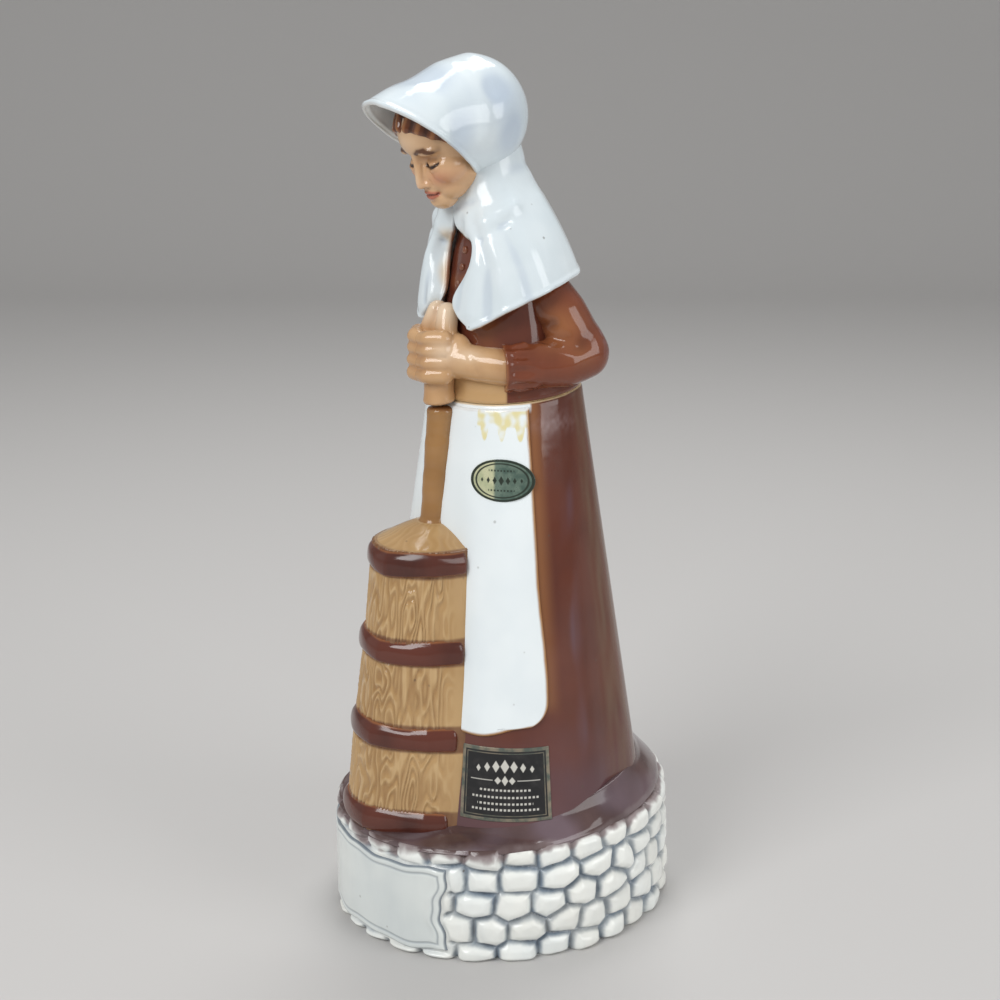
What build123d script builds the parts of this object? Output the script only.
# Figural ceramic decanter: a woman in a bonnet works a butter churn on a round cobbled plinth.
# The lower figure is the bottle. Her upper body lifts off with the cork and is the stopper.
#
# Frame: millimetres, +Z up, origin at the centre of the foot on the shelf.
# The figure faces -Y and her left hand side is +X.

from build123d import *
from math import atan2, copysign, cos, degrees, pi, radians, sin, tan
import os

os.makedirs("parts", exist_ok=True)

# Plinth of cobbles that the whole figure stands on
plinth_half_x = 61.0
plinth_half_y = 67.0
plinth_height = 42.0
plinth_wall = 7.5
plinth_roof = 5.0
floor_height = 12.0
foot_ring_width = 7.0
foot_recess = 6.0
foot_round = 1.2
cobble_relief = 1.8
cobble_bed = 1.0
cobble_course = 10.0
cobble_pitch = 14.2
cobble_joint = 1.3
cobble_edge_slope = 1.1
cobble_width_shares = (1.0, 0.82, 1.12, 0.9)
cobble_height_shares = (1.0, 0.88, 0.94, 1.02)
course_shift_shares = (0.0, 0.45, 0.15, 0.6)

# Blank scroll plaque let into the front of the plinth
plaque_half_angle = 41.0
plaque_low = 4.5
plaque_high = 35.0

# Skirt: the wall of the bottle
skirt_foot_half_x = 53.0
skirt_foot_half_y = 48.0
waist_half_x = 30.5
waist_half_y = 25.5
waist_back = 1.5
skirt_foot_back = 2.5
skirt_foot_fullness = 2.4
waist_fullness = 2.1
waist_height = 200.5
skirt_wall = 5.5
skirt_roof = 6.0
seam_tilt = 6.0
seam_gap = 0.3

# Mound of glaze that runs from the plinth's rim up to the skirt
mound_back_rise = 24.0
mound_front_rise = 3.0
mound_rim_inset = 0.8

# Neck of the bottle, cork and peg
neck_bore_radius = 11.0
neck_wall = 4.0
neck_rise = 10.0
neck_lip = 1.0
neck_ceiling_gap = 2.0
cork_running_fit = 0.05
cork_inner_radius = 7.5
cork_tip_overhang = 2.0
cork_head_gap = 0.5
cork_chamfer = 1.2
peg_tip_overhang = 1.0

# Apron over the front of the skirt
apron_thickness = 1.2
apron_half_angle = 76.0
apron_hem_height = 81.0
apron_top_gap = 1.2

# Butter churn
churn_top_height = 148.0
churn_top_radius = 19.6
churn_foot_radius = 24.6
churn_top_x = 1.0
churn_top_y = -34.2
churn_foot_x = -2.0
churn_foot_y = -40.6
hoop_height = 9.2
hoop_relief = 1.7
hoop_edge = 1.0
hoop_count = 4
lowest_hoop_centre = 46.8
highest_hoop_centre = 143.0
lid_rise = 6.5
lid_edge_inset = 1.6
lid_boss_radius = 7.0

# Staff of the churn's dasher
staff_radius = 4.4
staff_x = 1.5
staff_top_y = -27.3
staff_foot_y = -31.0
staff_socket = 3.0
staff_round = 1.6

# Two stickers
label_width = 33.0
label_height = 27.0
label_centre_height = 64.5
label_angle = 58.0
sticker_length = 23.5
sticker_height = 15.0
sticker_centre_height = 172.5
sticker_angle = 56.0
sticker_thickness = 0.3

# Bodice: the hollow shell of her upper body
bodice_hollow_wall = 5.0
bodice_skirt_reach = 12.0
bust_height = 236.0
bust_half_x = 26.0
bust_half_y = 19.5
shoulder_height = 253.0
shoulder_half_x = 21.0
shoulder_half_y = 13.0
nape_height = 266.0
nape_radius = 9.0
nape_y = -5.0
throat_height = 277.0
throat_radius = 8.0
throat_y = -12.0

# Arms, folded at the waist to hold the staff
shoulder_joint_x = 20.5
shoulder_joint_y = 4.0
shoulder_joint_height = 240.0
sleeve_shoulder_radius = 10.5
elbow_x = 31.0
elbow_y = 15.0
elbow_height = 213.5
elbow_radius = 9.0
cuff_x = 22.5
cuff_y = -14.6
cuff_height = 211.0
cuff_radius = 8.6
wrist_x = 12.5
wrist_y = -21.5
wrist_height = 212.0
wrist_radius = 6.0
forearm_radius = 7.0
fist_x = 3.5
fist_y = -25.5
fist_height = 213.5
fist_radius = 8.0
thumb_x = 1.0
thumb_y = -25.7
thumb_height = 229.5
thumb_radius = 3.6
thumb_root_radius = 5.2
grip_radius = 5.6
grip_gap = 0.2

# Kerchief over the shoulders, with a V opening
kerchief_top_height = 284.0
kerchief_top_radius = 12.0
kerchief_top_y = -8.0
kerchief_neck_height = 263.0
kerchief_neck_half_x = 22.0
kerchief_neck_half_y = 18.5
kerchief_shoulder_height = 250.0
kerchief_shoulder_half_x = 28.0
kerchief_shoulder_half_y = 23.0
kerchief_hem_height = 241.0
kerchief_hem_half_x = 31.5
kerchief_hem_half_y = 25.0
kerchief_foot_height = 219.0
kerchief_foot_half_x = 35.0
kerchief_foot_half_y = 27.0
kerchief_collar_height = 274.5
kerchief_collar_half_x = 14.5
kerchief_collar_half_y = 13.0
kerchief_collar_y = -5.0
kerchief_neck_y = -3.3
kerchief_shoulder_y = -1.5
kerchief_hem_y = -0.7
hem_front_height = 223.5
hem_front_y = -18.0
hem_back_height = 241.0
hem_back_y = 14.0
opening_top_height = 258.0
opening_half_width = 9.5
opening_foot_height = 224.0
opening_back_y = -3.0
button_radius = 1.3
button_count = 3
button_high_height = 251.5
button_high_y = -12.4
button_low_height = 237.5
button_low_y = -18.4

# Head, hair and bonnet
cranium_y = -21.0
cranium_height = 287.0
cranium_radius = 13.4
jaw_y = -24.0
jaw_height = 275.0
jaw_radius = 9.8
chin_y = -28.0
chin_height = 269.5
chin_radius = 4.8
nose_y = -34.2
nose_height = 276.0
nose_radius = 1.9
brow_y = -32.6
brow_height = 284.0
hair_thickness = 1.4
hair_line_y = -34.0
hair_line_height = 287.5
hair_line_slope = 20.0
bonnet_y = -14.5
bonnet_height = 297.0
bonnet_radius = 21.0
bonnet_wall = 1.9
brim_mid_y = -36.0
brim_mid_height = 292.2
brim_mid_half_x = 20.5
brim_mid_half_z = 19.0
brim_tip_y = -57.0
brim_tip_height = 286.5
brim_tip_half_x = 17.5
brim_tip_half_z = 16.0
brim_edge_high = 301.5
brim_edge_low_y = -9.4
brim_edge_low = 272.5

# One length that every cutting tool runs past the piece it cuts
overrun = 30.0

# Points that a full oval is drawn through
oval_point_count = 28

# Places that several pieces share
seam_normal = Vector(0, -sin(radians(seam_tilt)), cos(radians(seam_tilt)))
seam = Plane(origin=(0, waist_back, waist_height), x_dir=(1, 0, 0), z_dir=seam_normal)
neck_outer_radius = neck_bore_radius + neck_wall
cork_outer_radius = neck_bore_radius - cork_running_fit
peg_radius = cork_inner_radius - cork_running_fit
ceiling_height = neck_rise + neck_ceiling_gap
figure_reach = plinth_half_x + plinth_half_y
fan_corner_shares = (-1.0, -0.5, 0.0, 0.5, 1.0)


def skirt_half_widths(height, grow=0.0):
    """Half widths, backward shift and fullness of the skirt's oval at a height."""
    share = (height - plinth_height) / (waist_height - plinth_height)
    half_x = skirt_foot_half_x + (waist_half_x - skirt_foot_half_x) * share
    half_y = skirt_foot_half_y + (waist_half_y - skirt_foot_half_y) * share
    back = skirt_foot_back + (waist_back - skirt_foot_back) * share
    fullness = skirt_foot_fullness + (waist_fullness - skirt_foot_fullness) * share
    return half_x + grow, half_y + grow, back, fullness


def oval(height, half_x, half_y, centre_y=0.0, centre_x=0.0):
    """Oval in a level plane."""
    with BuildSketch(Plane.XY.offset(height)) as outline:
        with Locations((centre_x, centre_y)):
            Ellipse(half_x, half_y)
    return outline.sketch


def skirt_oval(height, grow=0.0):
    """The skirt's oval at a height."""
    half_x, half_y, back, fullness = skirt_half_widths(height, grow)
    points = []
    for number in range(oval_point_count):
        turn = 2 * pi * number / oval_point_count
        x = half_x * copysign(abs(cos(turn)) ** (2 / fullness), cos(turn))
        y = half_y * copysign(abs(sin(turn)) ** (2 / fullness), sin(turn))
        points.append((x, back + y))
    with BuildSketch(Plane.XY.offset(height)) as outline:
        with BuildLine():
            Spline(*points, periodic=True)
        make_face()
    return outline.sketch


def add_skirt_layer(grow=0.0):
    """The skirt's closed form, drawn on upward past the waist, thicker or thinner all round."""
    loft([skirt_oval(plinth_height, grow), skirt_oval(waist_height + overrun, grow)])


def disc(plane, radius):
    """Round disc on a plane."""
    with BuildSketch(plane) as outline:
        Circle(radius)
    return outline.sketch


def churn_axis(height):
    """Centre and radius of the churn's side at a height."""
    share = (height - plinth_height) / (churn_top_height - plinth_height)
    centre_x = churn_foot_x + (churn_top_x - churn_foot_x) * share
    centre_y = churn_foot_y + (churn_top_y - churn_foot_y) * share
    return centre_x, centre_y, churn_foot_radius + (churn_top_radius - churn_foot_radius) * share


def churn_disc(height, grow=0.0):
    """The churn's round outline at a height."""
    centre_x, centre_y, radius = churn_axis(height)
    return oval(height, radius + grow, radius + grow, centre_y, centre_x)


def keep_fan(half_angle, low, high):
    """Keep what lies in an upright fan that opens from the Z axis to the front."""
    turns = [radians(half_angle * share - 90) for share in fan_corner_shares]
    corners = [(figure_reach * cos(turn), figure_reach * sin(turn)) for turn in turns]
    with BuildSketch(Plane.XY.offset(low)) as fan:
        with BuildLine():
            Polyline((0, 0), *corners, close=True)
        make_face()
    extrude(fan.sketch, amount=high - low, mode=Mode.INTERSECT)


def add_limb(places, radii):
    """Make a rounded limb that runs through a list of places."""
    for place, radius in zip(places, radii):
        with Locations(place):
            Sphere(radius)
    for number in range(len(places) - 1):
        start = Vector(*places[number])
        end = Vector(*places[number + 1])
        near_end = disc(Plane(origin=start, z_dir=end - start), radii[number])
        far_end = disc(Plane(origin=end, z_dir=end - start), radii[number + 1])
        loft([near_end, far_end])


def keep_clear(*neighbours):
    """Cut the neighbours that a piece sits against out of it."""
    for neighbour in neighbours:
        add(neighbour.part, mode=Mode.SUBTRACT)


# Plinth, with its cobbles
core_half_x = plinth_half_x - cobble_relief
core_half_y = plinth_half_y - cobble_relief
cobble_depth = cobble_relief + cobble_bed


def cobble_solid(width, height):
    """One cobble: a block whose outer face is smaller than its root."""
    with BuildPart(mode=Mode.PRIVATE) as cobble:
        with BuildSketch(Plane.XZ.offset(0)):
            Rectangle(width, height)
        with BuildSketch(Plane.XZ.offset(cobble_depth)):
            Rectangle(width - 2 * cobble_edge_slope, height - 2 * cobble_edge_slope)
        loft(ruled=True)
    return cobble.part


def cobble_places(course):
    """Places of one course of cobbles round the core, clear of the plaque."""
    places = []
    perimeter = pi * (core_half_x + core_half_y)
    count = int(perimeter / cobble_pitch)
    height = cobble_course * (course + 0.5)
    for number in range(count):
        turn = 2 * pi * (number + course_shift_shares[course % len(course_shift_shares)]) / count
        x = core_half_x * cos(turn)
        y = core_half_y * sin(turn)
        facing = degrees(atan2(y / core_half_y**2, x / core_half_x**2))
        from_front = abs((degrees(turn) + 90 + 180) % 360 - 180)
        clear_angle = plaque_half_angle + degrees(cobble_pitch / core_half_y) * 0.5
        if from_front > clear_angle:
            inset_x = x - cobble_bed * cos(radians(facing))
            inset_y = y - cobble_bed * sin(radians(facing))
            places.append((Vector(inset_x, inset_y, height), facing + 90, number))
    return places


cobble_kinds = [
    cobble_solid((cobble_pitch - cobble_joint) * wide, (cobble_course - cobble_joint) * tall)
    for wide, tall in zip(cobble_width_shares, cobble_height_shares)
]
course_count = int(plinth_height / cobble_course)

with BuildPart() as stone_plinth:
    extrude(oval(0, core_half_x, core_half_y), amount=plinth_height)
    fillet(stone_plinth.edges().group_by(Axis.Z)[0], foot_round)
    for course in range(course_count):
        for place, facing, number in cobble_places(course):
            kind = cobble_kinds[(number * 3 + course) % len(cobble_kinds)]
            with Locations(Location(place, (0, 0, facing))):
                add(kind)
    chamber = oval(floor_height, plinth_half_x - plinth_wall, plinth_half_y - plinth_wall)
    extrude(chamber, amount=plinth_height - plinth_roof - floor_height, mode=Mode.SUBTRACT)
    extrude(skirt_oval(plinth_height, -skirt_wall), amount=-2 * plinth_roof, mode=Mode.SUBTRACT)
    envelope = oval(0, plinth_half_x, plinth_half_y)
    extrude(envelope, amount=plinth_height, mode=Mode.INTERSECT)
    recess = oval(0, core_half_x - foot_ring_width, core_half_y - foot_ring_width)
    extrude(recess, amount=foot_recess, mode=Mode.SUBTRACT)
stone_plinth.part.label = "stone_plinth"

with BuildPart() as plinth_core:
    extrude(oval(0, core_half_x, core_half_y), amount=plinth_height)

with BuildPart() as scroll_plaque:
    extrude(oval(plaque_low, plinth_half_x, plinth_half_y), amount=plaque_high - plaque_low)
    keep_fan(plaque_half_angle, plaque_low, plaque_high)
    keep_clear(plinth_core)
scroll_plaque.part.label = "scroll_plaque"

# Skirt, hollow, with its flat shoulder and the hole for the neck
with BuildPart() as skirt_core:
    add_skirt_layer()
    split(bisect_by=seam, keep=Keep.BOTTOM)

with BuildPart() as skirt_hollow:
    add_skirt_layer(-skirt_wall)
    split(bisect_by=seam.offset(-skirt_roof), keep=Keep.BOTTOM)

with BuildPart() as skirt_shell:
    add(skirt_core.part)
    keep_clear(skirt_hollow)
    extrude(disc(seam, neck_outer_radius), amount=-2 * skirt_roof, mode=Mode.SUBTRACT)
skirt_shell.part.label = "skirt_shell"

# Apron, a raised sheet round the front of the skirt with rounded lower corners
with BuildPart() as apron_round:
    add_skirt_layer(apron_thickness)
    split(bisect_by=seam.offset(-apron_top_gap), keep=Keep.BOTTOM)

with BuildPart() as apron_layer:
    add(apron_round.part)
    keep_fan(apron_half_angle, apron_hem_height, waist_height + overrun)

with BuildPart() as apron:
    add(apron_layer.part)
    keep_clear(skirt_core)
apron.part.label = "apron"

# Churn: tub, lid, hoops and the dasher's staff, each set against what stands behind it
with BuildPart() as staff_rod:
    lid_socket_height = churn_top_height + lid_rise - staff_socket
    staff_foot = oval(lid_socket_height, staff_radius, staff_radius, staff_foot_y, staff_x)
    loft([staff_foot, oval(waist_height, staff_radius, staff_radius, staff_top_y, staff_x)])
    split(bisect_by=seam.offset(-apron_top_gap), keep=Keep.BOTTOM)
    fillet(staff_rod.faces().sort_by(Axis.Z)[-1].edges(), staff_round)

with BuildPart() as dasher_staff:
    add(staff_rod.part)
    keep_clear(skirt_core, apron_layer)
dasher_staff.part.label = "dasher_staff"

with BuildPart() as tub_body:
    loft([churn_disc(plinth_height), churn_disc(churn_top_height)])

with BuildPart() as churn_tub:
    add(tub_body.part)
    keep_clear(skirt_core, apron_layer)
churn_tub.part.label = "churn_tub"

with BuildPart() as churn_lid:
    lid_rim = churn_disc(churn_top_height, -lid_edge_inset)
    lid_boss = oval(churn_top_height + lid_rise, lid_boss_radius, lid_boss_radius, staff_foot_y, staff_x)
    loft([lid_rim, lid_boss])
    keep_clear(skirt_core, apron_layer, staff_rod)
churn_lid.part.label = "churn_lid"

hoops = []
hoop_step = (highest_hoop_centre - lowest_hoop_centre) / (hoop_count - 1)
for number in range(hoop_count):
    hoop_low = lowest_hoop_centre + hoop_step * number - hoop_height / 2
    with BuildPart() as churn_hoop:
        loft([churn_disc(hoop_low, hoop_relief), churn_disc(hoop_low + hoop_height, hoop_relief)])
        rim_edges = churn_hoop.edges().group_by(Axis.Z)
        chamfer(rim_edges[0] + rim_edges[-1], hoop_edge)
        keep_clear(tub_body, skirt_core, apron_layer)
    churn_hoop.part.label = f"churn_hoop_{number + 1}"
    hoops.append(churn_hoop)

# Mound between the plinth's rim and the skirt, low in front and high behind
with BuildPart() as ground_mound:
    mound_foot = oval(plinth_height, core_half_x - mound_rim_inset, core_half_y - mound_rim_inset)
    loft([mound_foot, skirt_oval(plinth_height + mound_back_rise, mound_rim_inset)])
    slope = degrees(atan2(mound_back_rise - mound_front_rise, 2 * core_half_y))
    front_rim = (0, -core_half_y, plinth_height + mound_front_rise)
    slope_normal = (0, -sin(radians(slope)), cos(radians(slope)))
    split(bisect_by=Plane(origin=front_rim, x_dir=(1, 0, 0), z_dir=slope_normal), keep=Keep.BOTTOM)
    keep_clear(skirt_core, apron_layer, tub_body, hoops[0])
ground_mound.part.label = "ground_mound"

# Stickers, thin sheets that follow the skirt
def sticker_plane(angle, height):
    """Upright plane through the Z axis that faces the sticker's side of the skirt."""
    out = Vector(sin(radians(angle)), -cos(radians(angle)), 0)
    return Plane(origin=(0, 0, height), x_dir=(-out.Y, out.X, 0), z_dir=out)


with BuildPart() as front_label:
    add_skirt_layer(sticker_thickness)
    with BuildSketch(sticker_plane(label_angle, label_centre_height)):
        Rectangle(label_width, label_height)
    extrude(amount=figure_reach, mode=Mode.INTERSECT)
    keep_clear(skirt_core, ground_mound)
front_label.part.label = "front_label"

with BuildPart() as oval_sticker:
    add_skirt_layer(apron_thickness + sticker_thickness)
    with BuildSketch(sticker_plane(sticker_angle, sticker_centre_height)):
        Ellipse(sticker_length / 2, sticker_height / 2)
    extrude(amount=figure_reach, mode=Mode.INTERSECT)
    keep_clear(apron_round)
oval_sticker.part.label = "oval_sticker"

# Neck of the bottle, square to the seam
with BuildPart() as pouring_neck:
    with BuildSketch(seam.offset(-skirt_roof)):
        Circle(neck_outer_radius)
    extrude(amount=skirt_roof + neck_rise)
    fillet(pouring_neck.faces().sort_by(Axis.Z)[-1].edges(), neck_lip)
    with BuildSketch(seam.offset(-skirt_roof)):
        Circle(neck_bore_radius)
    extrude(amount=skirt_roof + neck_rise, mode=Mode.SUBTRACT)
pouring_neck.part.label = "pouring_neck"

# Cork sleeve in the neck, with the stopper's peg through it
with BuildPart() as cork_sleeve:
    cork_low = -(skirt_roof + cork_tip_overhang)
    with BuildSketch(seam.offset(cork_low)):
        Circle(cork_outer_radius)
    extrude(amount=neck_rise - cork_head_gap - cork_low)
    chamfer(cork_sleeve.edges().group_by(Axis.Z)[0], cork_chamfer)
    with BuildSketch(seam.offset(cork_low)):
        Circle(cork_inner_radius)
    extrude(amount=neck_rise - cork_low, mode=Mode.SUBTRACT)
cork_sleeve.part.label = "cork_sleeve"

with BuildPart() as stopper_peg:
    peg_low = cork_low - peg_tip_overhang
    with BuildSketch(seam.offset(peg_low)):
        Circle(peg_radius)
    extrude(amount=ceiling_height - peg_low)
    fillet(stopper_peg.faces().sort_by(Axis.Z)[0].edges(), cork_chamfer)
stopper_peg.part.label = "stopper_peg"

# Bodice with its neck, hollow below to clear the bottle's neck
waist_low = waist_height - bodice_skirt_reach
waist_high = waist_height + bodice_skirt_reach
waist_ovals = []
for height in (waist_low, waist_high):
    waist_ovals.append(oval(height, *skirt_half_widths(height)[:3]))

with BuildPart() as bodice_body:
    bust_oval = oval(bust_height, bust_half_x, bust_half_y, waist_back)
    shoulder_oval = oval(shoulder_height, shoulder_half_x, shoulder_half_y, waist_back)
    nape_oval = oval(nape_height, nape_radius, nape_radius, nape_y)
    throat_oval = oval(throat_height, throat_radius, throat_radius, throat_y)
    loft([*waist_ovals, bust_oval, shoulder_oval, nape_oval, throat_oval])
    split(bisect_by=seam.offset(seam_gap), keep=Keep.TOP)

with BuildPart() as bodice:
    add(bodice_body.part)
    with BuildSketch(seam):
        Ellipse(waist_half_x - bodice_hollow_wall, waist_half_y - bodice_hollow_wall)
    extrude(amount=ceiling_height, mode=Mode.SUBTRACT)
bodice.part.label = "bodice"


def mirrored(side, place):
    """Place on her left for side 1, and on her right for side -1."""
    return (side * place[0], place[1], place[2])


# Sleeves
sleeve_places = (
    (shoulder_joint_x, shoulder_joint_y, shoulder_joint_height),
    (elbow_x, elbow_y, elbow_height),
    (cuff_x, cuff_y, cuff_height),
)
sleeve_radii = (sleeve_shoulder_radius, elbow_radius, cuff_radius)
cuff_plane_normal = Vector(cuff_x - elbow_x, cuff_y - elbow_y, cuff_height - elbow_height)


def make_sleeve(side):
    """A sleeve with a flat cuff, solid to her side of the bodice."""
    with BuildPart() as sleeve:
        add_limb([mirrored(side, place) for place in sleeve_places], sleeve_radii)
        way = Vector(side * cuff_plane_normal.X, cuff_plane_normal.Y, cuff_plane_normal.Z)
        split(bisect_by=Plane(origin=mirrored(side, sleeve_places[-1]), z_dir=way), keep=Keep.BOTTOM)
        split(bisect_by=seam.offset(seam_gap), keep=Keep.TOP)
        keep_clear(bodice_body)
    return sleeve


left_sleeve = make_sleeve(1)
left_sleeve.part.label = "left_sleeve"
right_sleeve = make_sleeve(-1)
right_sleeve.part.label = "right_sleeve"

# Hands round the staff
hand_places = (
    (cuff_x, cuff_y, cuff_height),
    (wrist_x, wrist_y, wrist_height),
    (fist_x, fist_y, fist_height),
)
hand_radii = (forearm_radius, wrist_radius, fist_radius)


def make_hand_form(side):
    """The whole form of a forearm and fist."""
    with BuildPart() as hand_form:
        add_limb([mirrored(side, place) for place in hand_places], hand_radii)
    return hand_form


left_hand_form = make_hand_form(1)
right_hand_form = make_hand_form(-1)

with BuildPart() as both_hands_form:
    add(left_hand_form.part)
    add(right_hand_form.part)

with BuildPart() as left_hand:
    add(left_hand_form.part)
    split(bisect_by=Plane.YZ, keep=Keep.TOP)
    keep_clear(bodice_body, left_sleeve)
left_hand.part.label = "left_hand"

with BuildPart() as right_hand:
    add(right_hand_form.part)
    split(bisect_by=Plane.YZ, keep=Keep.BOTTOM)
    keep_clear(bodice_body, right_sleeve)
right_hand.part.label = "right_hand"

with BuildPart() as thumbs:
    add_limb(
        [(fist_x - thumb_x, fist_y, fist_height), (thumb_x, thumb_y, thumb_height)],
        (thumb_root_radius, thumb_radius),
    )
    keep_clear(bodice_body, both_hands_form)
thumbs.part.label = "thumbs"

# Stump of the staff below her hands, which meets the staff at the seam
with BuildPart() as staff_stump:
    stump_rear = staff_top_y + grip_radius - waist_back
    stump_foot = waist_height + seam_gap + stump_rear * tan(radians(seam_tilt))
    with BuildSketch(seam.offset(seam_gap)):
        with Locations((staff_x, staff_top_y - waist_back)):
            Circle(grip_radius)
    extrude(amount=fist_height - fist_radius - grip_gap - stump_foot)
    keep_clear(bodice_body)
staff_stump.part.label = "staff_stump"

# Head with a plain face that looks down at the churn
with BuildPart() as head_body:
    skull_places = [(0, cranium_y, cranium_height), (0, jaw_y, jaw_height), (0, chin_y, chin_height)]
    add_limb(skull_places, (cranium_radius, jaw_radius, chin_radius))
    add_limb([(0, brow_y, brow_height), (0, nose_y, nose_height)], (nose_radius, nose_radius))

# Kerchief
with BuildPart() as kerchief_body:
    kerchief_ovals = (
        (kerchief_foot_height, kerchief_foot_half_x, kerchief_foot_half_y, kerchief_hem_y),
        (kerchief_hem_height, kerchief_hem_half_x, kerchief_hem_half_y, kerchief_hem_y),
        (kerchief_shoulder_height, kerchief_shoulder_half_x, kerchief_shoulder_half_y, kerchief_shoulder_y),
        (kerchief_neck_height, kerchief_neck_half_x, kerchief_neck_half_y, kerchief_neck_y),
        (kerchief_collar_height, kerchief_collar_half_x, kerchief_collar_half_y, kerchief_collar_y),
        (kerchief_top_height, kerchief_top_radius, kerchief_top_radius, kerchief_top_y),
    )
    loft([oval(*kerchief_oval) for kerchief_oval in kerchief_ovals])
    hem_slope = atan2(hem_back_height - hem_front_height, hem_back_y - hem_front_y)
    hem_origin = (0, hem_front_y, hem_front_height)
    split(
        bisect_by=Plane(origin=hem_origin, x_dir=(1, 0, 0), z_dir=(0, -sin(hem_slope), cos(hem_slope))),
        keep=Keep.TOP,
    )
    with BuildSketch(Plane.XZ.offset(-opening_back_y)):
        with BuildLine():
            Polyline(
                (0, opening_foot_height),
                (opening_half_width, opening_top_height),
                (-opening_half_width, opening_top_height),
                close=True,
            )
        make_face()
    extrude(amount=figure_reach, mode=Mode.SUBTRACT)

with BuildPart() as kerchief:
    add(kerchief_body.part)
    keep_clear(bodice_body, left_sleeve, right_sleeve, left_hand, right_hand, thumbs, head_body)
kerchief.part.label = "kerchief"

# Three buttons down the front of the bodice
with BuildPart() as bodice_buttons:
    for number in range(button_count):
        share = number / (button_count - 1)
        button_y = button_high_y + (button_low_y - button_high_y) * share
        button_z = button_high_height + (button_low_height - button_high_height) * share
        with Locations((0, button_y, button_z)):
            Sphere(button_radius)
    keep_clear(bodice_body)
bodice_buttons.part.label = "bodice_buttons"


def upright_oval(centre_y, centre_height, half_x, half_z):
    """Oval in an upright plane that faces forward."""
    with BuildSketch(Plane.XZ.offset(-centre_y)) as outline:
        with Locations((0, centre_height)):
            Ellipse(half_x, half_z)
    return outline.sketch


def add_bonnet_form(inset):
    """The bonnet's closed form: a round crown drawn out forward into a brim."""
    with Locations((0, bonnet_y, bonnet_height)):
        Sphere(bonnet_radius - inset)
    split(bisect_by=Plane.XZ.offset(-bonnet_y), keep=Keep.BOTTOM)
    crown_ring = upright_oval(bonnet_y, bonnet_height, bonnet_radius - inset, bonnet_radius - inset)
    mid_ring = upright_oval(brim_mid_y, brim_mid_height, brim_mid_half_x - inset, brim_mid_half_z - inset)
    tip_ring = upright_oval(brim_tip_y, brim_tip_height, brim_tip_half_x - inset, brim_tip_half_z - inset)
    loft([crown_ring, mid_ring, tip_ring])


with BuildPart() as bonnet_hollow:
    add_bonnet_form(bonnet_wall)
    mouth_half_x = brim_tip_half_x - bonnet_wall
    mouth_half_z = brim_tip_half_z - bonnet_wall
    extrude(upright_oval(brim_tip_y, brim_tip_height, mouth_half_x, mouth_half_z), amount=bonnet_wall)

brim_slope = atan2(brim_edge_high - brim_edge_low, brim_edge_low_y - brim_tip_y)
brim_plane = Plane(
    origin=(0, brim_edge_low_y, brim_edge_low),
    x_dir=(1, 0, 0),
    z_dir=(0, sin(brim_slope), cos(brim_slope)),
)

with BuildPart() as bonnet:
    add_bonnet_form(0)
    keep_clear(bonnet_hollow)
    split(bisect_by=brim_plane, keep=Keep.TOP)
    keep_clear(kerchief_body, bodice_body)
bonnet.part.label = "bonnet"

with BuildPart() as head:
    add(head_body.part)
    keep_clear(bodice_body, bonnet)
head.part.label = "head"

hair_slope = radians(hair_line_slope)
hair_line = Plane(
    origin=(0, hair_line_y, hair_line_height),
    x_dir=(1, 0, 0),
    z_dir=(0, -sin(hair_slope), cos(hair_slope)),
)

with BuildPart() as hair:
    with Locations((0, cranium_y, cranium_height)):
        Sphere(cranium_radius + hair_thickness)
    split(bisect_by=hair_line, keep=Keep.TOP)
    keep_clear(head_body, bonnet, kerchief_body)
hair.part.label = "hair"

pieces = [
    stone_plinth, scroll_plaque, ground_mound, skirt_shell, pouring_neck, apron,
    churn_tub, churn_lid, *hoops, dasher_staff, front_label, oval_sticker,
    cork_sleeve, stopper_peg, bodice, left_sleeve, right_sleeve, left_hand,
    right_hand, thumbs, staff_stump, kerchief, bodice_buttons, head, hair,
    bonnet,
]
for piece in pieces:
    export_step(piece.part, f"parts/{piece.part.label}.step")
    print(piece.part.label, len(piece.part.solids()), round(piece.part.volume, 1), piece.part.bounding_box())
